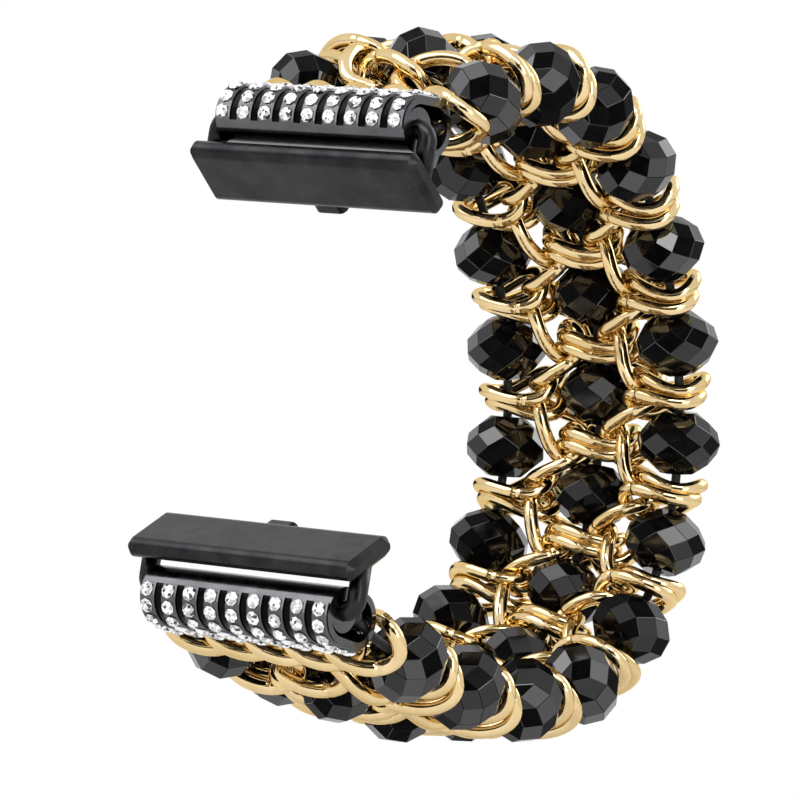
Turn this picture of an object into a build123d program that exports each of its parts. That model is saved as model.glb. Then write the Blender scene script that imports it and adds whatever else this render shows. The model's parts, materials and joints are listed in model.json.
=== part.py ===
"""Bead watch band: three elastic rows of faceted beads with a curb chain woven between them,
held at both ends by rolled barrels that turn on the wire bails of two slide-in adapters.
X runs across the band, -Y is the way the dial faces, and +Z is twelve o'clock. All sizes in mm."""
import os
from math import asin, atan2, cos, degrees, hypot, pi, radians, sin, tan

from build123d import *

os.makedirs("parts", exist_ok=True)

# Rows of beads
row_spacing = 11.3
bead_diameter = 9.3
bead_thickness = 6.65
shoulder_diameter = 7.6
shoulder_depth = 1.3
bead_face_diameter = 4.4
bead_bore = 1.2
bead_facets = 8
outer_beads = 13
row_crown = 2.0

# Path of the outer rows, from gap middle to gap middle
bead_pitch = 11.2
first_run = 10.8
last_run = 11.3
row_end_gap = 1.3
row_end_height = 27.0
weave_lean = 5.7
turn_shares = (0.100, 0.108, 0.101, 0.078, 0.058, 0.061, 0.095, 0.126, 0.121, 0.087, 0.048, 0.017)

# Elastic cords
cord_diameter = 1.0
cord_bend_radius = 6.0
cord_sides = 4
knot_diameter = 2.0
knot_length = 1.7
knot_gap = 1.4
knot_height = 24.8
knot_inset = 0.9

# Curb links
link_wire = 1.12
link_reach_share = 0.2
link_hook = 1.64
link_nose = row_spacing * link_reach_share + link_hook
link_nose_half = 1.15
link_taper = 1.9
link_side = link_nose - link_taper
link_half_width = 2.5
ring_twist = 30
bridge_twist = 45
wire_sides = 4
edge_link_overlap = 2.8
edge_link_pitch = link_nose * 2 - edge_link_overlap

# Barrels
barrel_overhang = 0.5
barrel_length = (row_spacing + barrel_overhang) * 2
barrel_depth = 6.85
barrel_rise = 25.1
barrel_flat = 2.7
barrel_height = 5.8
barrel_tilt = 5
barrel_wall = 0.7
barrel_bore = 2.1
curl_diameter = barrel_height - barrel_wall * 2
pin_depth = 5.3
pin_height = 24.6
mouth_depth = 7.3
mouth_width = 1.2
mouth_drop = 0.4
mouth_height = barrel_rise - barrel_height / 2 - mouth_drop
cord_hole = 1.5
knot_depth = pin_depth + curl_diameter / 2 + knot_gap
row_end_depth = barrel_depth + (barrel_flat + barrel_height) / 2 + row_end_gap

# Stones on the barrels
stone_rows = 9
stone_margin = 1.0
stone_row_pitch = (barrel_length - stone_margin * 2) / (stone_rows - 1)
stones_in_row = 6
stone_pitch = 1.55
stone_width = 1.4
stone_table = 0.8
stone_height = 0.6
setting_gap = 0.03
bare_strip = 4.7

# Adapters and bails
bail_wire = 2.0
bail_gap = 0.3
bail_half_span = (barrel_length + bail_wire) / 2 + bail_gap
tongue_margin = 0.1
tongue_length = (bail_half_span + tongue_margin) * 2 + bail_wire
tongue_width = 7.8
tongue_thickness = 2.2
tongue_depth = 5.3
tongue_height = 19.1
tongue_tilt = 33
tongue_end_round = 0.6
bail_corner_radius = 1.3
bail_sides = 6

# Lock plungers and their springs
plunger_length = 3.8
plunger_thickness = 1.4
plunger_reach = 0.8
plunger_body = 2.2
plunger_clearance = 0.05
pocket_depth = 4.2
spring_diameter = 1.15
spring_wire = 0.25
spring_turns = 3
spring_steps = 6


def walk_row(total_turn):
    """Gap middles of a row that starts at the origin along +Y and turns by total_turn."""
    runs = [first_run] + [bead_pitch] * (outer_beads - 2) + [last_run]
    heading = 0
    points = [(0, 0)]
    for index, run in enumerate(runs):
        depth, height = points[-1]
        points.append((depth + run * cos(heading), height + run * sin(heading)))
        if index < len(turn_shares):
            heading -= total_turn * turn_shares[index] / sum(turn_shares)
    return points


def close_row():
    """The row's path, bent until its ends reach both barrels and turned upright."""
    span = 2 * row_end_height
    least_turn = pi
    most_turn = 2 * pi
    for _ in range(50):
        turn = (least_turn + most_turn) / 2
        depth, height = walk_row(turn)[-1]
        if hypot(depth, height) > span:
            least_turn = turn
        else:
            most_turn = turn
    tilt = -pi / 2 - atan2(height, depth)
    return [
        Vector(
            0,
            row_end_depth + depth * cos(tilt) - height * sin(tilt),
            row_end_height + depth * sin(tilt) + height * cos(tilt),
        )
        for depth, height in walk_row(turn)
    ]


def outward(direction):
    """Normal of the band where it runs along direction."""
    return Vector(1, 0, 0).cross(direction)


def directions(points):
    return [(after - before).normalized() for before, after in zip(points, points[1:])]


def bend_directions(runs):
    """Band direction at every gap: halfway between the runs on its two sides."""
    inner = [(before + after).normalized() for before, after in zip(runs, runs[1:])]
    return [runs[0]] + inner + [runs[-1]]


def bead_points(gaps, runs):
    """Bead middles of an outer row: halfway between gaps, but close to the inner gap at the ends."""
    middles = [(a + b) * 0.5 for a, b in zip(gaps, gaps[1:])]
    middles[0] = gaps[1] - runs[0] * (bead_pitch / 2)
    middles[-1] = gaps[-2] + runs[-1] * (bead_pitch / 2)
    return middles


def lean_at(index):
    """Lean of the woven passes in degrees, counted in beads from the upper barrel."""
    return weave_lean * sin(pi * index / outer_beads)


# Middle path of the outer rows: gaps, bead places and run directions in the plane X = 0
outer_gaps = close_row()
outer_runs = directions(outer_gaps)
outer_bends = bend_directions(outer_runs)
outer_bead_points = bead_points(outer_gaps, outer_runs)

# Centre row: it lies half a pitch further along and bulges outward
centre_gaps = [point + outward(run) * row_crown for point, run in zip(outer_bead_points, outer_runs)]
centre_runs = directions(centre_gaps)
centre_bends = bend_directions(centre_runs)
centre_bends[0] = (outer_runs[0] + centre_runs[0]).normalized()
centre_bends[-1] = (outer_runs[-1] + centre_runs[-1]).normalized()
centre_bead_points = [(a + b) * 0.5 for a, b in zip(centre_gaps, centre_gaps[1:])]


def leaning_gaps(across):
    """Gaps of the outer row at across, moved along the band by the passes' lean."""
    return [
        gap - way * (across * tan(radians(lean_at(index))))
        for index, (gap, way) in enumerate(zip(outer_gaps, outer_bends))
    ]


left_gaps = leaning_gaps(-row_spacing)
right_gaps = leaning_gaps(row_spacing)


def keep(piece, name):
    piece.part.label = name
    export_step(piece.part, f"parts/{name}.step")


# Beads
with BuildPart() as bead:
    half = bead_thickness / 2
    for height, width in (
        (-half, bead_face_diameter),
        (-half + shoulder_depth, shoulder_diameter),
        (0, bead_diameter),
        (half - shoulder_depth, shoulder_diameter),
        (half, bead_face_diameter),
    ):
        with BuildSketch(Plane.XY.offset(height)):
            RegularPolygon(width / 2, bead_facets)
    loft(ruled=True)
    with BuildSketch(Plane.XY.offset(-half)):
        Circle(bead_bore / 2)
    extrude(amount=bead_thickness, mode=Mode.SUBTRACT)


def place_bead(name, across, point, run):
    """One bead threaded on its row, its bore along the run."""
    seat = Plane(origin=Vector(across, point.Y, point.Z), x_dir=(1, 0, 0), z_dir=run)
    with BuildPart() as placed:
        with Locations(seat.location):
            add(bead.part)
    keep(placed, name)


for row, across, gaps in (("left", -row_spacing, left_gaps), ("right", row_spacing, right_gaps)):
    runs = directions(gaps)
    for number, (point, run) in enumerate(zip(bead_points(gaps, runs), runs), start=1):
        place_bead(f"{row}_bead_{number:02d}", across, point, run)
for number, (point, run) in enumerate(zip(centre_bead_points, centre_runs), start=1):
    place_bead(f"centre_bead_{number:02d}", 0, point, run)


# Elastic cords, each knotted inside both barrels
upper_knot = Vector(0, knot_depth, knot_height)
lower_knot = Vector(0, knot_depth, -knot_height)


def cord(name, across, gaps, inset):
    """A cord through one row, its ends led in by inset so that the knots sit inside the barrels."""
    run = [Vector(across, gap.Y, gap.Z) for gap in gaps]
    lead = Vector(across - inset, 0, 0)
    route = [upper_knot + lead] + run + [lower_knot + lead]
    first_way = (route[1] - route[0]).normalized()
    last_way = (route[-1] - route[-2]).normalized()
    with BuildPart() as elastic:
        with BuildLine() as path:
            FilletPolyline(*route, radius=cord_bend_radius)
        with BuildSketch(Plane(origin=route[0], x_dir=(1, 0, 0), z_dir=first_way)):
            RegularPolygon(cord_diameter / 2, cord_sides)
        sweep(path=path.line)
        for end, way in ((route[0], first_way), (route[-1], last_way)):
            with BuildSketch(Plane(origin=end, x_dir=(1, 0, 0), z_dir=way)):
                RegularPolygon(knot_diameter / 2, cord_sides)
            extrude(amount=knot_length / 2, both=True)
    keep(elastic, name)


cord("left_cord", -row_spacing, left_gaps, -knot_inset)
cord("right_cord", row_spacing, right_gaps, knot_inset)
cord("centre_cord", 0, centre_gaps, 0)


# Curb links: an eight-cornered loop of wire, twisted about its long axis
def link_corners(twist):
    """Corners of the wire's middle line, with the face direction of the link at each."""
    quarter = [(link_nose, link_nose_half), (link_side, link_half_width)]
    other_quarter = [(-x, y) for x, y in reversed(quarter)]
    top = quarter + other_quarter
    outline = top + [(-x, -y) for x, y in top]
    corners = []
    for x, y in outline:
        turn = radians(twist) * x / link_nose
        corners.append((Vector(x, y * cos(turn), y * sin(turn)), Vector(0, -sin(turn), cos(turn))))
    return corners


def make_link(twist):
    """Two ruled half-loops that meet end to end."""
    corners = link_corners(twist)
    count = len(corners)
    half = count // 2
    with BuildPart() as link:
        for start in (0, half):
            for step in range(half + 1):
                index = (start + step) % count
                point, face = corners[index]
                before = corners[index - 1][0]
                after = corners[(index + 1) % count][0]
                way = (point - before).normalized() + (after - point).normalized()
                with BuildSketch(Plane(origin=point, x_dir=face, z_dir=way)):
                    RegularPolygon(link_wire / 2, wire_sides)
            loft(ruled=True)
    return link.part


ring_link = make_link(ring_twist)
bridge_link = make_link(bridge_twist)

# How far the outer links of a woven pass stand in from their cord, and the bridges from half way to it
left_ring_inset = 1.75
left_bridge_inset = 1.05
right_bridge_inset = 0.7
right_ring_inset = 1.85

# How far the bridges' noses lie along the band from their middles, and the headings that this gives
left_bridge_rise = 3.0309
right_bridge_rise = 2.8983
left_bridge_heading = degrees(asin(left_bridge_rise / link_nose))
right_bridge_heading = 180 - degrees(asin(right_bridge_rise / link_nose))

# Places of the five links of a woven pass: across, along and out of the band, from the gap
# or from the middle between two gaps, then heading, climb and roll in degrees
left_ring_place = (left_ring_inset - row_spacing, 0.9, 0.9, 4, 12, 8)
left_bridge_place = (left_bridge_inset - row_spacing / 2, 0.95, -0.1, left_bridge_heading, 7, 22)
centre_ring_place = (0.25, -0.65, -0.5, -1, 1, 1)
right_bridge_place = (row_spacing / 2 - right_bridge_inset, 1.0, 0.2, right_bridge_heading, -2, -151)
right_ring_place = (row_spacing - right_ring_inset, 1.0, -0.55, 177, -2, -163)


def link_seat(origin, way, place, reverse=False, lean=0):
    """Plane of a link whose place is given in the band's own directions at origin, turned by lean."""
    sign = -1 if reverse else 1
    turn = radians(lean)
    across = (Vector(1, 0, 0) * cos(turn) - way * sin(turn)) * sign
    along = (way * cos(turn) + Vector(1, 0, 0) * sin(turn)) * sign
    out = outward(way)
    shift_across, shift_along, shift_out, heading, climb, roll = place
    heading, climb, roll = radians(heading), radians(climb), radians(roll)
    long_way = (across * cos(heading) + along * sin(heading)) * cos(climb) + out * sin(climb)
    upright = (out - long_way * out.dot(long_way)).normalized()
    side = upright * cos(roll) + long_way.cross(upright) * sin(roll)
    point = origin + across * shift_across + along * shift_along + out * shift_out
    return Plane(origin=point, x_dir=long_way, z_dir=long_way.cross(side)).location


def pass_seats(outer_index, centre_index, reverse):
    """Seats of one pass: left ring, bridge, centre ring, bridge, right ring."""
    outer_point = outer_gaps[outer_index]
    outer_way = outer_bends[outer_index]
    centre_point = centre_gaps[centre_index]
    centre_way = centre_bends[centre_index]
    middle_point = (outer_point + centre_point) * 0.5
    middle_way = (outer_way + centre_way).normalized()
    lean = lean_at(outer_index)
    rings = [
        link_seat(outer_point, outer_way, left_ring_place, reverse, lean),
        link_seat(centre_point, centre_way, centre_ring_place, reverse, lean),
        link_seat(outer_point, outer_way, right_ring_place, reverse, lean),
    ]
    bridges = [
        link_seat(middle_point, middle_way, left_bridge_place, reverse, lean),
        link_seat(middle_point, middle_way, right_bridge_place, reverse, lean),
    ]
    return rings, bridges


def chain(name, rings, bridges):
    """A group of separate links."""
    with BuildPart() as links:
        with Locations(*rings):
            add(ring_link)
        if bridges:
            with Locations(*bridges):
                add(bridge_link)
    keep(links, name)


inner_gaps = range(1, outer_beads)
for name, lag, reverse in (("vee_links", 0, False), ("arch_links", 1, True)):
    passes = [pass_seats(index, index - lag, reverse) for index in inner_gaps]
    chain(name, [seat for rings, _ in passes for seat in rings], [seat for _, bridges in passes for seat in bridges])

for name, index in (("upper_edge_links", 0), ("lower_edge_links", outer_beads)):
    places = [(step * edge_link_pitch, 0, 0, 0, 0, 0) for step in range(-2, 3)]
    chain(name, [], [link_seat(outer_gaps[index], outer_bends[index], place) for place in places])


# Barrels: a sheet rolled round the bail's crossbar, open towards the case, hollow behind the curl
def barrel(name, side, knot, ends):
    """One end piece. Side is 1 at twelve o'clock and -1 at six."""
    with BuildPart() as roll:
        with BuildSketch(Plane.YZ):
            with Locations((barrel_depth, barrel_rise * side)):
                SlotCenterToCenter(barrel_flat, barrel_height, rotation=barrel_tilt * side)
                SlotCenterToCenter(
                    barrel_flat, barrel_height - barrel_wall * 2, rotation=barrel_tilt * side, mode=Mode.SUBTRACT
                )
            with Locations((pin_depth, pin_height * side)):
                Circle(curl_diameter / 2)
                Circle(barrel_bore / 2, mode=Mode.SUBTRACT)
            with Locations((mouth_depth, mouth_height * side)):
                Rectangle(mouth_width, mouth_width * 2, mode=Mode.SUBTRACT)
        extrude(amount=barrel_length / 2, both=True)
        for across, inset, gap in ends:
            start = knot + Vector(across - inset, 0, 0)
            way = Vector(across, gap.Y, gap.Z) - start
            with BuildSketch(Plane(origin=start, x_dir=(1, 0, 0), z_dir=way)):
                Circle(cord_hole / 2)
            extrude(amount=way.length, mode=Mode.SUBTRACT)
    keep(roll, name)


def rim_place(distance):
    """Point of the barrel's outline and its outward way, at a distance from the front arc's foot."""
    radius = barrel_height / 2
    tilt = radians(barrel_tilt)
    flat_way = Vector(0, cos(tilt), sin(tilt))
    middle = Vector(0, barrel_depth, barrel_rise)
    arc = pi * radius
    if distance < arc:
        centre = middle - flat_way * (barrel_flat / 2)
        turn = distance / radius
    elif distance < arc + barrel_flat:
        centre = middle + flat_way * (distance - arc - barrel_flat / 2)
        turn = pi
    else:
        centre = middle + flat_way * (barrel_flat / 2)
        turn = (distance - barrel_flat) / radius
    angle = tilt - pi / 2 - turn
    out = Vector(0, cos(angle), sin(angle))
    return centre + out * radius, out


def stones(name, side):
    """Rows of stones round the outside of a barrel, behind its bare strip."""
    seats = []
    for row in range(stone_rows):
        across = (row - (stone_rows - 1) / 2) * stone_row_pitch
        for place in range(stones_in_row):
            point, out = rim_place(bare_strip + place * stone_pitch)
            base = point + out * setting_gap
            seats.append(
                Plane(
                    origin=(across, base.Y, base.Z * side), x_dir=(1, 0, 0), z_dir=(0, out.Y, out.Z * side)
                ).location
            )
    slope = degrees(atan2(stone_width - stone_table, stone_height * 2))
    with BuildPart() as stone:
        with BuildSketch():
            Rectangle(stone_width, stone_width)
        extrude(amount=stone_height, taper=slope)
    with BuildPart() as setting:
        with Locations(*seats):
            add(stone.part)
    keep(setting, name)


def cord_ends(index):
    """Across place, inset and first gap of the three cords at one end of the rows."""
    return (
        (-row_spacing, -knot_inset, outer_gaps[index]),
        (row_spacing, knot_inset, outer_gaps[index]),
        (0, 0, centre_gaps[index]),
    )


barrel("upper_barrel", 1, upper_knot, cord_ends(0))
barrel("lower_barrel", -1, lower_knot, cord_ends(-1))
stones("upper_barrel_stones", 1)
stones("lower_barrel_stones", -1)


# Adapters: a tilted tongue with a wire bail, and a sprung lock plunger in its wrist-side edge
def tongue_plane(side):
    """Plane across the tongue: local x runs along its width towards the wrist."""
    tilt = radians(tongue_tilt)
    return Plane(
        origin=(0, tongue_depth, tongue_height * side),
        x_dir=(0, cos(tilt), -sin(tilt) * side),
        z_dir=(1, 0, 0),
    )


def adapter(side, prefix):
    across_tongue = tongue_plane(side)
    wrist_way = across_tongue.x_dir
    edge = across_tongue.origin + wrist_way * (tongue_width / 2)
    pocket_floor = edge - wrist_way * pocket_depth
    pocket_plane = Plane(origin=pocket_floor, x_dir=(1, 0, 0), z_dir=wrist_way)
    with BuildPart() as tongue:
        with BuildSketch(across_tongue):
            SlotOverall(tongue_width, tongue_thickness)
        extrude(amount=tongue_length / 2, both=True)
        ends = tongue.edges().group_by(Axis.X)
        chamfer(list(ends[0]) + list(ends[-1]), tongue_end_round)
        with BuildSketch(pocket_plane):
            SlotOverall(plunger_length + plunger_clearance * 2, plunger_thickness + plunger_clearance * 2)
        extrude(amount=pocket_depth * 2, mode=Mode.SUBTRACT)
    keep(tongue, f"{prefix}_adapter")

    plunger_back = edge + wrist_way * (plunger_reach - plunger_body)
    with BuildPart() as plunger:
        with BuildSketch(Plane(origin=plunger_back, x_dir=(1, 0, 0), z_dir=wrist_way)):
            SlotOverall(plunger_length, plunger_thickness)
        extrude(amount=plunger_body)
    keep(plunger, f"{prefix}_lock_plunger")

    spring_length = pocket_depth + plunger_reach - plunger_body
    steps = spring_turns * spring_steps
    radius = (spring_diameter - spring_wire) / 2
    rise = (spring_length - spring_wire) / steps
    coil = []
    for step in range(steps + 1):
        turn = 2 * pi * step / spring_steps
        height = spring_wire / 2 + rise * step
        coil.append((Vector(radius * cos(turn), radius * sin(turn), height), Vector(cos(turn), sin(turn), 0)))
    with BuildPart() as spring:
        for index, (point, face) in enumerate(coil):
            before = coil[max(index - 1, 0)][0]
            after = coil[min(index + 1, steps)][0]
            with BuildSketch(Plane(origin=point, x_dir=face, z_dir=after - before)):
                RegularPolygon(spring_wire / 2, 4)
        loft(ruled=True)
    with BuildPart() as seated_spring:
        with Locations(pocket_plane.location):
            add(spring.part)
    keep(seated_spring, f"{prefix}_lock_spring")

    pin = Vector(0, pin_depth, pin_height * side)
    foot = Vector(0, across_tongue.origin.Y, across_tongue.origin.Z)
    left = Vector(-bail_half_span, 0, 0)
    right = Vector(bail_half_span, 0, 0)
    with BuildPart() as bail:
        with BuildLine() as path:
            FilletPolyline(foot + left, pin + left, pin + right, foot + right, radius=bail_corner_radius)
        with BuildSketch(Plane(origin=foot + left, z_dir=pin - foot)):
            RegularPolygon(bail_wire / 2, bail_sides)
        sweep(path=path.line)
        with BuildSketch(across_tongue):
            SlotOverall(tongue_width, tongue_thickness)
        extrude(amount=tongue_length, both=True, mode=Mode.SUBTRACT)
    keep(bail, f"{prefix}_bail")


adapter(1, "upper")
adapter(-1, "lower")
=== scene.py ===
"""Looks for the bead watch band: cut glass beads, twisted gold links, dark end barrels with set
stones, and the sliding adapters with their wire bails. Metres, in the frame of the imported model."""
import json
import random
from math import atan2, cos, pi, radians, sin

import bmesh
import bpy
from mathutils import Matrix, Vector


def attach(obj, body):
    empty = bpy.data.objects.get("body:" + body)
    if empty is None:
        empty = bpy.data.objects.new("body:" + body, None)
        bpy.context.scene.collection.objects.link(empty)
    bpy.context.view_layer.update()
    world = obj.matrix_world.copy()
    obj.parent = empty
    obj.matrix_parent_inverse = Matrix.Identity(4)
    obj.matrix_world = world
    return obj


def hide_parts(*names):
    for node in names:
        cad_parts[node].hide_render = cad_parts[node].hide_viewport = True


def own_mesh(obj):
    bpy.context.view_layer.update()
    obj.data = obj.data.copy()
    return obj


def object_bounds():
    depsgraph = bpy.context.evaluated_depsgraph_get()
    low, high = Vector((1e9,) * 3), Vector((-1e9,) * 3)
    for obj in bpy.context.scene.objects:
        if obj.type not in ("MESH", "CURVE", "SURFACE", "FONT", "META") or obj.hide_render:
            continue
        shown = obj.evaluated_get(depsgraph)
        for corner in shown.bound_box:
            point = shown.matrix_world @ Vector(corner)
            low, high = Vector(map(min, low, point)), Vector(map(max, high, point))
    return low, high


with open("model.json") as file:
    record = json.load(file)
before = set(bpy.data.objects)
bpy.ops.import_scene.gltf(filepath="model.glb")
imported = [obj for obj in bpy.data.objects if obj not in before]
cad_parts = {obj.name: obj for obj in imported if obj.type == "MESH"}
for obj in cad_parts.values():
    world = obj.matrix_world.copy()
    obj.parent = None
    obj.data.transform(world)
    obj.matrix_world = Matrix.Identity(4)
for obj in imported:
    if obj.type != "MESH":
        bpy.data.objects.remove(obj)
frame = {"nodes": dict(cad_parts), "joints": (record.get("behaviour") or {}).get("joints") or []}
cad_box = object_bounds()
joints = {joint["name"]: joint for joint in frame["joints"]}

# Camera fitted to the photograph
camera_yaw = radians(34.77)
camera_elevation = radians(-5.035)
camera_roll = radians(8.705)
camera_distance = 0.5412
camera_target = Vector((0.0044, 0.0200, -0.00135))
camera_lens = 235.4
camera_sensor = 36.0

# Rows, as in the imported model
row_spacing = 0.0113
outer_bead_count = 13
bead_pitch = 0.0112
row_end = (0.0124, 0.0270)
row_crown = 0.0020

# Cut of a bead: diamonds round the girdle, a row of kites, a second row, and triangles to the table
bead_facets = 8
bead_radius = 0.00465
diamond_height = 0.00120
kite_height = 0.00228
table_height = 0.00336
bore_radius = 0.00065
bead_edge = 0.00004
bead_turn_step = 2.4

# How strongly the facets mirror the studio, and where the shares of dark and grey facets end
facet_dark = 0.03
facet_grey = 0.46
facet_bright = 0.92
facet_shares = (0.42, 0.82)

# Facets of the stones: painted reflection colours, where dark, grey and white facets stand in for what the
# clear stones mirror, and where the shares of dark and grey facets end
stone_reflection_dark = (0.05, 0.05, 0.06)
stone_reflection_grey = (0.48, 0.49, 0.51)
stone_reflection_white = (0.96, 0.96, 0.97)
stone_reflection_shares = (0.10, 0.40)

# Links
wire_half_width = 0.00082
wire_half_thickness = 0.00077
wire_shift = 0.00015
seam_turn = 1.15
seam_half = 0.012
seam_depth = 0.12
link_reach = 0.0040
link_half_width = 0.00255
ring_twist = radians(30)
bridge_twist = radians(45)
edge_link_pitch = 0.0050
nose_power = 0.9
side_power = 0.78
link_steps = 44
wire_steps = 14

# Places of the five links of a woven pass: across, along and out of the band, then heading, climb, roll
left_ring_place = (-0.00955, 0.00090, 0.00090, 4, 12, 8)
left_bridge_place = (-0.00460, 0.00095, -0.00010, 51, 7, 22)
centre_ring_place = (0.00025, -0.00065, -0.00050, -1, 1, 1)
right_bridge_place = (0.00495, 0.00100, 0.00020, 132, -2, -151)
right_ring_place = (0.00945, 0.00100, -0.00055, 177, -2, -163)

# Cords and knots
cord_radius = 0.0005
knot_radius = 0.0010
knot_place = (0.0089, 0.0248)
knot_inset = 0.0009

# Cut of a stone from base to table: shares of its radius and height, and half steps of turn
stone_cut_shares = ((0.75, 0, 0), (1, 0.35, 0), (0.80, 0.74, 1), (0.52, 0.97, 0))

# Barrels and stones
barrel_middle = (0.00685, 0.0251)
barrel_flat = 0.0027
barrel_radius = 0.0029
barrel_tilt = radians(5)
stone_rows = 9
stone_row_pitch = 0.0027
stones_in_row = 6
stone_pitch = 0.00155
bare_strip = 0.0047
stone_radius = 0.00077
stone_seat = 0.00020
stone_height = 0.00055
stone_facets = 8
stone_turn_step = 0.7
rail_half_width = 0.00090
rail_height = 0.00032
groove_height = 0.00004
rail_reach = 0.0008
rail_edge_share = 0.4
rim_steps = 30

# Bails and tongues
bail_radius = 0.0010
bail_half_span = 0.0131
bail_corner = 0.0013
bail_steps = 20
bail_corner_steps = 8
bail_foot_share = 0.6
pin_place = (0.0053, 0.0246)
tongue_place = (0.0053, 0.0191)
tongue_tilt = radians(33)
tongue_reach = 0.0011

# Lock springs
spring_foot = 0.0003
spring_length = 0.0028
spring_radius = 0.00045
spring_wire_radius = 0.000125
spring_turns = 3
spring_steps = 20
spring_sides = 8

# Colours, from one end of each material's cloudy change to the other
glass_colours = ((0.0015, 0.0015, 0.0018), (0.0035, 0.0035, 0.0040))
gold_colours = ((0.69, 0.51, 0.25), (0.80, 0.62, 0.35))
gold_edge = (0.95, 0.80, 0.52)
elastic_colours = ((0.005, 0.005, 0.005), (0.014, 0.014, 0.014))
barrel_colours = ((0.085, 0.085, 0.090), (0.120, 0.120, 0.126))
groove_colours = ((0.004, 0.004, 0.004), (0.008, 0.008, 0.008))
adapter_colours = ((0.020, 0.020, 0.022), (0.035, 0.035, 0.037))
spring_colours = ((0.35, 0.35, 0.36), (0.45, 0.45, 0.46))
flag_colour = (0.02, 0.02, 0.02)
floor_colour = (0.93, 0.93, 0.93)

# Studio: the floor with the distances over which it fades to white, the dark cards with their sizes,
# and the lamps with their places, sizes and watts
floor_drop = 0.022
floor_half_size = 3.0
floor_fade = (0.08, 0.25)
fill_strength = 0.5
aim_point = (0, 0.03, 0)
flags = (((0.48, -0.70, -0.05), 1.0), ((-0.75, 0.35, -0.10), 0.6))
lamps = (
    ("key", (-0.35, -0.45, 0.55), (0.60, 0.60), 2.7),
    ("strip", (0.15, -0.50, 0.60), (0.60, 0.13), 2.4),
    ("fill", (0.60, -0.35, 0.15), (0.30, 0.55), 1.6),
    ("rim", (0.20, 0.55, 0.45), (0.55, 0.40), 1.8),
)


# Materials
def shader(name):
    """A new material with its node tree and its Principled shader."""
    material = bpy.data.materials.new(name)
    material.use_nodes = True
    return material, material.node_tree, material.node_tree.nodes["Principled BSDF"]


def noise(tree, scale, detail=3.0):
    """A cloudy value from 0 to 1 that stays with the piece."""
    place = tree.nodes.new("ShaderNodeTexCoord")
    texture = tree.nodes.new("ShaderNodeTexNoise")
    texture.inputs["Scale"].default_value = scale
    texture.inputs["Detail"].default_value = detail
    tree.links.new(place.outputs["Object"], texture.inputs["Vector"])
    return texture.outputs["Fac"]


def spread(tree, value, low, high):
    """Maps a noise value to a span."""
    node = tree.nodes.new("ShaderNodeMapRange")
    node.inputs["From Min"].default_value = 0.3
    node.inputs["From Max"].default_value = 0.7
    node.inputs["To Min"].default_value = low
    node.inputs["To Max"].default_value = high
    tree.links.new(value, node.inputs["Value"])
    return node.outputs["Result"]


def tint(tree, value, first, second):
    """Maps a noise value to a change between two colours."""
    node = tree.nodes.new("ShaderNodeValToRGB")
    node.color_ramp.elements[0].position = 0.35
    node.color_ramp.elements[0].color = (*first, 1)
    node.color_ramp.elements[1].position = 0.65
    node.color_ramp.elements[1].color = (*second, 1)
    tree.links.new(value, node.inputs["Fac"])
    return node.outputs["Color"]


def bump(tree, value, shader_node, strength, distance):
    node = tree.nodes.new("ShaderNodeBump")
    node.inputs["Strength"].default_value = strength
    node.inputs["Distance"].default_value = distance
    tree.links.new(value, node.inputs["Height"])
    tree.links.new(node.outputs["Normal"], shader_node.inputs["Normal"])


def facet_steps(tree, colours, shares):
    """One of three colours for each facet, by the tone that shade_facets gave it."""
    facet = tree.nodes.new("ShaderNodeAttribute")
    facet.attribute_name = "facet"
    steps = tree.nodes.new("ShaderNodeValToRGB")
    steps.color_ramp.interpolation = "CONSTANT"
    first, last = steps.color_ramp.elements
    first.color = (*colours[0], 1)
    last.position = shares[1]
    last.color = (*colours[2], 1)
    middle = steps.color_ramp.elements.new(shares[0])
    middle.color = (*colours[1], 1)
    tree.links.new(facet.outputs["Fac"], steps.inputs["Fac"])
    return steps.outputs["Color"]


def black_glass():
    material, tree, body = shader("black_glass")
    grain = noise(tree, 900)
    tree.links.new(tint(tree, grain, *glass_colours), body.inputs["Base Color"])
    tree.links.new(spread(tree, noise(tree, 350), 0.03, 0.09), body.inputs["Roughness"])
    levels = [(level, level, level) for level in (facet_dark, facet_grey, facet_bright)]
    tree.links.new(facet_steps(tree, levels, facet_shares), body.inputs["Specular IOR Level"])
    bump(tree, noise(tree, 600, 2), body, 0.03, 0.0001)
    return material


def gold():
    material, tree, body = shader("gold")
    tree.links.new(tint(tree, noise(tree, 260), *gold_colours), body.inputs["Base Color"])
    body.inputs["Metallic"].default_value = 1
    body.inputs["Specular Tint"].default_value = (*gold_edge, 1)
    tree.links.new(spread(tree, noise(tree, 500), 0.05, 0.12), body.inputs["Roughness"])
    bump(tree, noise(tree, 1500, 2), body, 0.05, 0.0001)
    return material


def gunmetal(name, colours, rough_low, rough_high):
    material, tree, body = shader(name)
    tree.links.new(tint(tree, noise(tree, 300), *colours), body.inputs["Base Color"])
    body.inputs["Metallic"].default_value = 1
    tree.links.new(spread(tree, noise(tree, 700), rough_low, rough_high), body.inputs["Roughness"])
    bump(tree, noise(tree, 1200, 2), body, 0.04, 0.0001)
    return material


def clear_stone():
    material, tree, body = shader("clear_stone")
    # The stones' base colour is painted reflection: each facet is painted dark, grey or white by its random
    # tone.
    tones = facet_steps(tree, (stone_reflection_dark, stone_reflection_grey, stone_reflection_white), stone_reflection_shares)
    tree.links.new(tones, body.inputs["Base Color"])
    tree.links.new(spread(tree, noise(tree, 900), 0.03, 0.12), body.inputs["Roughness"])
    body.inputs["IOR"].default_value = 1.6
    return material


def elastic():
    material, tree, body = shader("elastic")
    tree.links.new(tint(tree, noise(tree, 2500), *elastic_colours), body.inputs["Base Color"])
    tree.links.new(spread(tree, noise(tree, 1500), 0.45, 0.65), body.inputs["Roughness"])
    bump(tree, noise(tree, 4000, 2), body, 0.3, 0.0001)
    return material


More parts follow.
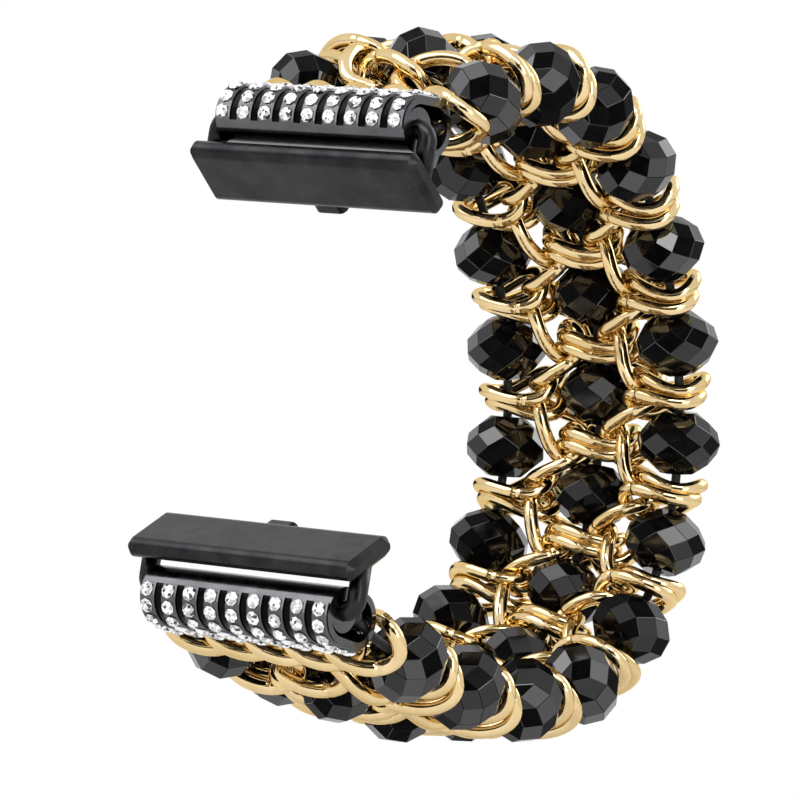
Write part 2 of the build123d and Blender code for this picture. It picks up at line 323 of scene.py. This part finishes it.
glass_look = black_glass()
gold_look = gold()
barrel_look = gunmetal("barrel_metal", barrel_colours, 0.12, 0.22)
groove_look = gunmetal("groove_metal", groove_colours, 0.20, 0.30)
adapter_look = gunmetal("adapter_metal", adapter_colours, 0.22, 0.34)
spring_look = gunmetal("spring_metal", spring_colours, 0.20, 0.30)
stone_look = clear_stone()
elastic_look = elastic()


# Directions of the band
def joint_point(name):
    return Vector(joints[name]["pos_m"])


def joint_way(name):
    return Vector(joints[name]["axis"]).normalized()


def outward(way):
    """Normal of the band where it runs along way."""
    return Vector((1, 0, 0)).cross(way)


def meeting(point, way, other_point, other_way):
    """Where two neighbouring runs of a row meet, in the plane of the row."""
    gap = other_point - point
    cross = way.y * other_way.z - way.z * other_way.y
    if abs(cross) < 1e-6:
        return (point + other_point) / 2
    share = (gap.y * other_way.z - gap.z * other_way.y) / cross
    return point + way * share


def row_gaps(row):
    """Gaps of an outer row: its two fixed ends, and where the lines of neighbouring beads meet."""
    names = [f"{row}_bead_{n:02d}_spin" for n in range(1, outer_bead_count + 1)]
    points = [joint_point(name) for name in names]
    ways = [joint_way(name) for name in names]
    inner = [meeting(a, b, c, d) for a, b, c, d in zip(points, ways, points[1:], ways[1:])]
    across = points[0].x
    top = Vector((across, row_end[0], row_end[1]))
    bottom = Vector((across, row_end[0], -row_end[1]))
    return [top] + inner + [bottom]


def directions(points):
    return [(after - before).normalized() for before, after in zip(points, points[1:])]


def bends(ways):
    inner = [(a + b).normalized() for a, b in zip(ways, ways[1:])]
    return [ways[0]] + inner + [ways[-1]]


left_gaps = row_gaps("left")
right_gaps = row_gaps("right")
outer_gaps = [(left + right) / 2 for left, right in zip(left_gaps, right_gaps)]
outer_ways = directions(outer_gaps)
outer_bends = bends(outer_ways)
leans = [
    atan2((left - right).dot(way), 2 * row_spacing)
    for left, right, way in zip(left_gaps, right_gaps, outer_bends)
]
outer_points = [(a + b) / 2 for a, b in zip(outer_gaps, outer_gaps[1:])]
outer_points[0] = outer_gaps[1] - outer_ways[0] * (bead_pitch / 2)
outer_points[-1] = outer_gaps[-2] + outer_ways[-1] * (bead_pitch / 2)
centre_gaps = [point + outward(way) * row_crown for point, way in zip(outer_points, outer_ways)]
centre_ways = directions(centre_gaps)
centre_bends = bends(centre_ways)
centre_bends[0] = (outer_ways[0] + centre_ways[0]).normalized()
centre_bends[-1] = (outer_ways[-1] + centre_ways[-1]).normalized()


# Mesh helpers
def new_piece(name, mesh, look, body, smooth=False):
    piece = bpy.data.objects.new(name, mesh)
    bpy.context.scene.collection.objects.link(piece)
    mesh.materials.append(look)
    if smooth:
        mesh.shade_smooth()
    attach(piece, body)
    return piece


def mesh_from(name, shape):
    bmesh.ops.recalc_face_normals(shape, faces=shape.faces)
    mesh = bpy.data.meshes.new(name)
    shape.to_mesh(mesh)
    shape.free()
    return mesh


def axes_matrix(origin, x_way, y_way, z_way):
    matrix = Matrix((x_way, y_way, z_way)).transposed().to_4x4()
    matrix.translation = origin
    return matrix


def add_tube(shape, centres, sides, ups, steps, closed=True):
    """A tube along centres, with the two half axes of its section given at each."""
    rings = []
    for centre, side, up in zip(centres, sides, ups):
        ring = []
        for step in range(steps):
            turn = 2 * pi * step / steps
            ring.append(shape.verts.new(centre + side * cos(turn) + up * sin(turn)))
        rings.append(ring)
    pairs = list(zip(rings, rings[1:] + rings[:1])) if closed else list(zip(rings, rings[1:]))
    for first, second in pairs:
        for step in range(steps):
            after = (step + 1) % steps
            shape.faces.new((first[step], first[after], second[after], second[step]))
    if not closed:
        shape.faces.new(list(reversed(rings[0])))
        shape.faces.new(rings[-1])


# Beads
def bead_mesh():
    """A cut rondelle about Z, from rings of corners that keep every facet flat."""
    half_step = pi / bead_facets
    pull = cos(half_step)
    diamond_radius = bead_radius * pull
    kite_radius = bead_radius - bead_radius * sin(half_step) ** 2 * kite_height / diamond_height
    slope = (kite_radius * pull - diamond_radius) / (kite_height - diamond_height)
    table_radius = diamond_radius + slope * (table_height - diamond_height)
    shape = bmesh.new()

    def ring(radius, height, offset):
        turns = [(2 * n + offset) * half_step for n in range(bead_facets)]
        return [shape.verts.new((radius * cos(turn), radius * sin(turn), height)) for turn in turns]

    girdle = ring(bead_radius, 0, 1)
    halves = []
    for side in (1, -1):
        diamond = ring(diamond_radius, diamond_height * side, 0)
        kite = ring(kite_radius, kite_height * side, 1)
        table = ring(table_radius, table_height * side, 0)
        bore = ring(bore_radius, table_height * side, 0)
        for n in range(bead_facets):
            after = (n + 1) % bead_facets
            shape.faces.new((girdle[n], diamond[after], kite[n], diamond[n]))
            shape.faces.new((diamond[n], kite[n], table[n], kite[n - 1]))
            shape.faces.new((table[n], kite[n], table[after]))
            shape.faces.new((table[n], table[after], bore[after], bore[n]))
        halves.append((diamond, bore))
    for n in range(bead_facets):
        after = (n + 1) % bead_facets
        shape.faces.new((halves[0][0][n], girdle[n], halves[1][0][n], girdle[n - 1]))
        shape.faces.new((halves[0][1][n], halves[1][1][n], halves[1][1][after], halves[0][1][after]))
    bmesh.ops.recalc_face_normals(shape, faces=shape.faces)
    edges = list(shape.edges)
    bmesh.ops.bevel(
        shape, geom=edges, offset=bead_edge, segments=1, affect="EDGES", profile=0.5, clamp_overlap=True
    )
    return mesh_from("bead", shape)


def shade_facets(mesh, seed):
    """Gives every facet a random tone. On the beads it sets how strongly the facet mirrors the studio; on
    the stones it picks the facet's painted reflection colour.
    """
    draw = random.Random(seed)
    tones = mesh.attributes.new("facet", "FLOAT", "FACE")
    for face in mesh.polygons:
        tones.data[face.index].value = draw.random()


def make_bead(name, source, turn):
    point = joint_point(name + "_spin")
    way = joint_way(name + "_spin")
    mesh = source.copy()
    spin = Matrix.Rotation(turn, 4, "Z")
    mesh.transform(axes_matrix(point, Vector((1, 0, 0)), way.cross(Vector((1, 0, 0))), way) @ spin)
    shade_facets(mesh, name)
    piece = new_piece(name + "_cut", mesh, glass_look, name)
    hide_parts(name)


def make_beads():
    source = bead_mesh()
    names = [f"{row}_bead_{n:02d}" for row in ("left", "right") for n in range(1, outer_bead_count + 1)]
    names += [f"centre_bead_{n:02d}" for n in range(1, outer_bead_count)]
    for number, name in enumerate(names):
        make_bead(name, source, number * bead_turn_step)


# Links
def add_link(shape, matrix, twist):
    """A closed twisted oval of wire, with the shallow seam where its ends meet."""
    turns = [(2 * pi * step / link_steps, 1) for step in range(link_steps)]
    seam = [(seam_turn - seam_half, 1), (seam_turn, 1 - seam_depth), (seam_turn + seam_half, 1)]
    turns = sorted([turn for turn in turns if abs(turn[0] - seam_turn) > seam_half * 2] + seam)
    centres, ups = [], []
    for turn, _ in turns:
        c, s = cos(turn), sin(turn)
        x = link_reach * abs(c) ** nose_power * (1 if c >= 0 else -1)
        y = link_half_width * abs(s) ** side_power * (1 if s >= 0 else -1)
        lean = twist * x / link_reach
        centres.append(Vector((x, y * cos(lean), y * sin(lean))))
        ups.append(Vector((0, -sin(lean), cos(lean))))
    rotate = matrix.to_3x3()
    places, sides, heights = [], [], []
    for index, (_, size) in enumerate(turns):
        way = (centres[(index + 1) % len(turns)] - centres[index - 1]).normalized()
        up = (ups[index] - way * ups[index].dot(way)).normalized()
        side = way.cross(up)
        places.append(matrix @ (centres[index] + side * wire_shift))
        sides.append(rotate @ side * (wire_half_width * size))
        heights.append(rotate @ up * (wire_half_thickness * size))
    add_tube(shape, places, sides, heights, wire_steps)


def link_seat(origin, way, place, reverse=False, lean=0):
    """Matrix of a link whose place is given in the band's own directions at origin, turned by lean."""
    sign = -1 if reverse else 1
    across = (Vector((1, 0, 0)) * cos(lean) - way * sin(lean)) * sign
    along = (way * cos(lean) + Vector((1, 0, 0)) * sin(lean)) * sign
    out = outward(way)
    shift_across, shift_along, shift_out, heading, climb, roll = place
    heading, climb, roll = radians(heading), radians(climb), radians(roll)
    long_way = (across * cos(heading) + along * sin(heading)) * cos(climb) + out * sin(climb)
    upright = (out - long_way * out.dot(long_way)).normalized()
    side = upright * cos(roll) + long_way.cross(upright) * sin(roll)
    point = origin + across * shift_across + along * shift_along + out * shift_out
    return axes_matrix(point, long_way, side, long_way.cross(side))


def add_pass(shape, outer_index, centre_index, reverse):
    outer_point, outer_way = outer_gaps[outer_index], outer_bends[outer_index]
    centre_point, centre_way = centre_gaps[centre_index], centre_bends[centre_index]
    middle_point = (outer_point + centre_point) / 2
    middle_way = (outer_way + centre_way).normalized()
    for place, point, way, twist in (
        (left_ring_place, outer_point, outer_way, ring_twist),
        (left_bridge_place, middle_point, middle_way, bridge_twist),
        (centre_ring_place, centre_point, centre_way, ring_twist),
        (right_bridge_place, middle_point, middle_way, bridge_twist),
        (right_ring_place, outer_point, outer_way, ring_twist),
    ):
        add_link(shape, link_seat(point, way, place, reverse, leans[outer_index]), twist)


def make_links():
    for node, lag, reverse in (("vee_links", 0, False), ("arch_links", 1, True)):
        shape = bmesh.new()
        for index in range(1, outer_bead_count):
            add_pass(shape, index, index - lag, reverse)
        piece = new_piece(node + "_round", mesh_from(node, shape), gold_look, "band", smooth=True)
        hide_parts(node)
    for node, index in (("upper_edge_links", 0), ("lower_edge_links", -1)):
        shape = bmesh.new()
        for step in range(-2, 3):
            place = (step * edge_link_pitch, 0, 0, 0, 0, 0)
            add_link(shape, link_seat(outer_gaps[index], outer_bends[index], place), bridge_twist)
        piece = new_piece(node + "_round", mesh_from(node, shape), gold_look, "band", smooth=True)
        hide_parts(node)


# Cords
def make_cord(name, gaps, inset):
    """A cord from knot to knot, held by its row of beads all the way."""
    across = gaps[0].x
    route = [Vector((across - inset, knot_place[0], knot_place[1]))] + list(gaps)
    route.append(Vector((across - inset, knot_place[0], -knot_place[1])))
    curve = bpy.data.curves.new(name, "CURVE")
    curve.dimensions = "3D"
    curve.bevel_depth = cord_radius
    curve.bevel_resolution = 4
    curve.use_fill_caps = True
    line = curve.splines.new("NURBS")
    line.points.add(len(route) - 1)
    for spot, point in zip(line.points, route):
        spot.co = (*point, 1)
    line.order_u = 3
    line.use_endpoint_u = True
    line.resolution_u = 6
    piece = bpy.data.objects.new(name + "_round", curve)
    bpy.context.scene.collection.objects.link(piece)
    curve.materials.append(elastic_look)
    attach(piece, "band")
    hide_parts(name)
    shape = bmesh.new()
    for end in (route[0], route[-1]):
        bmesh.ops.create_uvsphere(
            shape, u_segments=16, v_segments=10, radius=knot_radius, matrix=Matrix.Translation(end)
        )
    knot = new_piece(name + "_knots", mesh_from(name + "_knots", shape), elastic_look, "band", smooth=True)


# Barrels
def rim_place(distance):
    """Point of the barrel's outline and its outward way, at a distance from the front arc's foot."""
    flat_way = Vector((0, cos(barrel_tilt), sin(barrel_tilt)))
    middle = Vector((0, *barrel_middle))
    arc = pi * barrel_radius
    if distance < arc:
        centre = middle - flat_way * (barrel_flat / 2)
        turn = distance / barrel_radius
    elif distance < arc + barrel_flat:
        centre = middle + flat_way * (distance - arc - barrel_flat / 2)
        turn = pi
    else:
        centre = middle + flat_way * (barrel_flat / 2)
        turn = (distance - barrel_flat) / barrel_radius
    angle = barrel_tilt - pi / 2 - turn
    out = Vector((0, cos(angle), sin(angle)))
    return centre + out * barrel_radius, out


def add_stone(shape, seat):
    """A round-cut stone on its seat, widest a little above the base."""
    rings = []
    for radius_share, height_share, offset in stone_cut_shares:
        radius, height = stone_radius * radius_share, stone_height * height_share
        ring = []
        for n in range(stone_facets):
            turn = (2 * n + offset) * pi / stone_facets
            ring.append(shape.verts.new(seat @ Vector((radius * cos(turn), radius * sin(turn), height))))
        rings.append(ring)
    base, girdle, crown, table = rings
    tip = shape.verts.new(seat @ Vector((0, 0, stone_height)))
    shape.faces.new(base)
    for n in range(stone_facets):
        after = (n + 1) % stone_facets
        before = n - 1
        shape.faces.new((base[n], base[after], girdle[after], girdle[n]))
        shape.faces.new((girdle[n], girdle[after], crown[n]))
        shape.faces.new((girdle[n], crown[n], table[n], crown[before]))
        shape.faces.new((table[n], crown[n], table[after]))
        shape.faces.new((table[n], table[after], tip))


def add_rim_band(shape, first_across, last_across, start, end, height):
    """A strip that follows the barrel's outline from start to end, standing height above it."""
    sections = []
    for step in range(rim_steps + 1):
        point, out = rim_place(start + (end - start) * step / rim_steps)
        low = point - out * rail_height
        high = point + out * height
        edge = min(height, rail_height) * rail_edge_share
        corners = [
            (first_across, low),
            (first_across, high - out * edge),
            (first_across + edge, high),
            (last_across - edge, high),
            (last_across, high - out * edge),
            (last_across, low),
        ]
        sections.append([shape.verts.new((across, spot.y, spot.z)) for across, spot in corners])
    for first, second in zip(sections, sections[1:]):
        for n in range(len(first)):
            after = (n + 1) % len(first)
            shape.faces.new((first[n], first[after], second[after], second[n]))
    shape.faces.new(sections[0])
    shape.faces.new(list(reversed(sections[-1])))


def flip(shape, side):
    """Mirrors a shape made for the upper barrel to the lower one."""
    if side < 0:
        bmesh.ops.scale(shape, vec=(1, 1, -1), verts=shape.verts)


def make_barrel_dress(prefix, side):
    """Raised bands with set stones, and the dark grooves between them."""
    name = prefix + "_barrel_stones"
    stones, bands, grooves = bmesh.new(), bmesh.new(), bmesh.new()
    start = bare_strip - rail_reach
    end = bare_strip + (stones_in_row - 1) * stone_pitch + rail_reach
    middles = [(row - (stone_rows - 1) / 2) * stone_row_pitch for row in range(stone_rows)]
    for row, across in enumerate(middles):
        add_rim_band(bands, across - rail_half_width, across + rail_half_width, start, end, rail_height)
        for place in range(stones_in_row):
            point, out = rim_place(bare_strip + place * stone_pitch)
            point.x = across
            x_way = Vector((1, 0, 0))
            seat = axes_matrix(point + out * stone_seat, x_way, out.cross(x_way), out)
            add_stone(stones, seat @ Matrix.Rotation(stone_turn_step * (row + place), 4, "Z"))
    for first, second in zip(middles, middles[1:]):
        add_rim_band(grooves, first + rail_half_width, second - rail_half_width, start, end, groove_height)
    for shape in (stones, bands, grooves):
        flip(shape, side)
    mesh = mesh_from(name, stones)
    # Each stone facet gets a random tone, which picks its painted reflection colour.
    shade_facets(mesh, name)
    piece = new_piece(name + "_cut", mesh, stone_look, "band")
    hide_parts(name)
    for part, shape, look in (("bands", bands, barrel_look), ("grooves", grooves, groove_look)):
        piece = new_piece(f"{prefix}_barrel_{part}", mesh_from(part, shape), look, "band")


# Bails
def make_bail(prefix, side):
    """A round wire from the tongue up, through the barrel, and down again."""
    pin = Vector((0, pin_place[0], pin_place[1] * side))
    foot = Vector((0, tongue_place[0], (tongue_place[1] + tongue_reach * bail_foot_share) * side))
    rise = (pin - foot).normalized()
    points = []
    for edge in (-1, 1):
        span = Vector((bail_half_span * edge, 0, 0))
        inward = Vector((-edge, 0, 0))
        middle = pin + span - rise * bail_corner + inward * bail_corner
        arc = []
        for step in range(bail_corner_steps + 1):
            turn = pi / 2 * step / bail_corner_steps
            arc.append(middle - inward * (bail_corner * cos(turn)) + rise * (bail_corner * sin(turn)))
        leg = [foot + span] + arc
        points += leg if edge == -1 else list(reversed(leg))
    ways = []
    for index, point in enumerate(points):
        ways.append((points[min(index + 1, len(points) - 1)] - points[max(index - 1, 0)]).normalized())
    flat_normal = rise.cross(Vector((1, 0, 0))).normalized()
    shape = bmesh.new()
    sides = [flat_normal * bail_radius] * len(points)
    add_tube(shape, points, sides, [way.cross(flat_normal) * bail_radius for way in ways], bail_steps, False)
    mesh = mesh_from(prefix + "_bail", shape)
    piece = new_piece(prefix + "_bail_round", mesh, adapter_look, prefix + "_end", smooth=True)
    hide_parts(prefix + "_bail")


def make_spring(prefix, side):
    """A round coil from the pocket's floor to the lock plunger."""
    wrist_way = Vector((0, cos(tongue_tilt), -sin(tongue_tilt) * side))
    across = Vector((1, 0, 0))
    up = wrist_way.cross(across)
    foot = Vector((0, tongue_place[0], tongue_place[1] * side)) - wrist_way * spring_foot
    count = spring_turns * spring_steps
    points, outs = [], []
    for step in range(count + 1):
        turn = 2 * pi * step / spring_steps
        out = across * cos(turn) + up * sin(turn)
        rise = spring_wire_radius + (spring_length - spring_wire_radius * 2) * step / count
        points.append(foot + out * spring_radius + wrist_way * rise)
        outs.append(out)
    sides, heights = [], []
    for index, out in enumerate(outs):
        way = (points[min(index + 1, count)] - points[max(index - 1, 0)]).normalized()
        out = (out - way * out.dot(way)).normalized()
        sides.append(out * spring_wire_radius)
        heights.append(way.cross(out) * spring_wire_radius)
    shape = bmesh.new()
    add_tube(shape, points, sides, heights, spring_sides, False)
    name = prefix + "_lock_spring"
    piece = new_piece(name + "_round", mesh_from(name, shape), spring_look, prefix + "_end", smooth=True)
    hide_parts(name)
    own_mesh(piece)


def dress(node, look):
    """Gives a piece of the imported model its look."""
    piece = frame["nodes"][node]
    piece.data.materials.clear()
    piece.data.materials.append(look)


# Camera and light
def make_camera():
    data = bpy.data.cameras.new("camera")
    data.lens = camera_lens
    data.sensor_width = camera_sensor
    data.clip_start = 0.01
    camera = bpy.data.objects.new("camera", data)
    bpy.context.scene.collection.objects.link(camera)
    level = cos(camera_elevation)
    eye_way = Vector((sin(camera_yaw) * level, -cos(camera_yaw) * level, sin(camera_elevation)))
    ahead = -eye_way
    right = ahead.cross(Vector((0, 0, 1))).normalized()
    up = right.cross(ahead)
    rolled_right = right * cos(camera_roll) + up * sin(camera_roll)
    rolled_up = up * cos(camera_roll) - right * sin(camera_roll)
    eye = camera_target + eye_way * camera_distance
    camera.matrix_world = axes_matrix(eye, rolled_right, rolled_up, eye_way)
    bpy.context.scene.camera = camera


def turn_to_band(obj, place):
    obj.location = place
    obj.rotation_euler = (Vector(aim_point) - Vector(place)).to_track_quat("-Z", "Y").to_euler()


def square(name, half, height=0):
    """A level square mesh."""
    mesh = bpy.data.meshes.new(name)
    corners = [(-half, -half, height), (half, -half, height), (half, half, height), (-half, half, height)]
    mesh.from_pydata(corners, [], [(0, 1, 2, 3)])
    return mesh


def make_lamp(name, place, size, power):
    data = bpy.data.lights.new(name, "AREA")
    data.shape = "RECTANGLE"
    data.size, data.size_y = size
    data.energy = power
    obj = bpy.data.objects.new(name, data)
    bpy.context.scene.collection.objects.link(obj)
    turn_to_band(obj, place)


def make_flag(place, size):
    """A dark card outside the picture, for the dark streaks that polished metal and glass show."""
    mesh = square("flag", size / 2)
    flag = bpy.data.objects.new("flag", mesh)
    bpy.context.scene.collection.objects.link(flag)
    turn_to_band(flag, place)
    flag.visible_camera = False
    flag.visible_shadow = False
    material, tree, body = shader("flag")
    body.inputs["Base Color"].default_value = (*flag_colour, 1)
    body.inputs["Roughness"].default_value = 1
    mesh.materials.append(material)


def make_world():
    """A backdrop that is white to the camera and in reflections, and a softer fill elsewhere."""
    world = bpy.data.worlds.new("studio")
    bpy.context.scene.world = world
    world.use_nodes = True
    tree = world.node_tree
    tree.nodes.clear()
    out = tree.nodes.new("ShaderNodeOutputWorld")
    shown = tree.nodes.new("ShaderNodeBackground")
    shown.inputs["Color"].default_value = (1, 1, 1, 1)
    shown.inputs["Strength"].default_value = 1.0
    fill = tree.nodes.new("ShaderNodeBackground")
    fill.inputs["Color"].default_value = (1, 1, 1, 1)
    fill.inputs["Strength"].default_value = fill_strength
    rays = tree.nodes.new("ShaderNodeLightPath")
    seen = tree.nodes.new("ShaderNodeMath")
    seen.operation = "ADD"
    seen.use_clamp = True
    also = tree.nodes.new("ShaderNodeMath")
    also.operation = "ADD"
    also.use_clamp = True
    mix = tree.nodes.new("ShaderNodeMixShader")
    tree.links.new(rays.outputs["Is Camera Ray"], seen.inputs[0])
    tree.links.new(rays.outputs["Is Glossy Ray"], seen.inputs[1])
    tree.links.new(seen.outputs[0], also.inputs[0])
    tree.links.new(rays.outputs["Is Transmission Ray"], also.inputs[1])
    tree.links.new(also.outputs[0], mix.inputs["Fac"])
    tree.links.new(fill.outputs[0], mix.inputs[1])
    tree.links.new(shown.outputs[0], mix.inputs[2])
    tree.links.new(mix.outputs[0], out.inputs["Surface"])


def make_floor():
    """A pale floor under the band that fades to the white of the backdrop."""
    mesh = square("floor", floor_half_size, cad_box[0][2] - floor_drop)
    floor = bpy.data.objects.new("floor", mesh)
    bpy.context.scene.collection.objects.link(floor)
    material, tree, body = shader("floor")
    body.inputs["Base Color"].default_value = (*floor_colour, 1)
    body.inputs["Roughness"].default_value = 0.9
    white = tree.nodes.new("ShaderNodeEmission")
    rays = tree.nodes.new("ShaderNodeLightPath")
    place = tree.nodes.new("ShaderNodeTexCoord")
    length = tree.nodes.new("ShaderNodeVectorMath")
    length.operation = "LENGTH"
    fade = tree.nodes.new("ShaderNodeMapRange")
    fade.inputs["From Min"].default_value = floor_fade[0]
    fade.inputs["From Max"].default_value = floor_fade[1]
    seen = tree.nodes.new("ShaderNodeMath")
    seen.operation = "MULTIPLY"
    mix = tree.nodes.new("ShaderNodeMixShader")
    tree.links.new(place.outputs["Object"], length.inputs[0])
    tree.links.new(length.outputs["Value"], fade.inputs["Value"])
    tree.links.new(fade.outputs["Result"], seen.inputs[0])
    tree.links.new(rays.outputs["Is Camera Ray"], seen.inputs[1])
    tree.links.new(seen.outputs[0], mix.inputs["Fac"])
    tree.links.new(body.outputs[0], mix.inputs[1])
    tree.links.new(white.outputs[0], mix.inputs[2])
    tree.links.new(mix.outputs[0], tree.nodes["Material Output"].inputs["Surface"])
    mesh.materials.append(material)


make_beads()
make_links()
make_cord("left_cord", left_gaps, -knot_inset)
make_cord("right_cord", right_gaps, knot_inset)
make_cord("centre_cord", centre_gaps, 0)
for prefix, side in (("upper", 1), ("lower", -1)):
    make_barrel_dress(prefix, side)
    make_bail(prefix, side)
    dress(prefix + "_barrel", barrel_look)
    dress(prefix + "_adapter", adapter_look)
    dress(prefix + "_lock_plunger", adapter_look)
    make_spring(prefix, side)

make_camera()
make_world()
make_floor()
for flag in flags:
    make_flag(*flag)
for lamp in lamps:
    make_lamp(*lamp)

bpy.context.scene.view_settings.view_transform = "Standard"
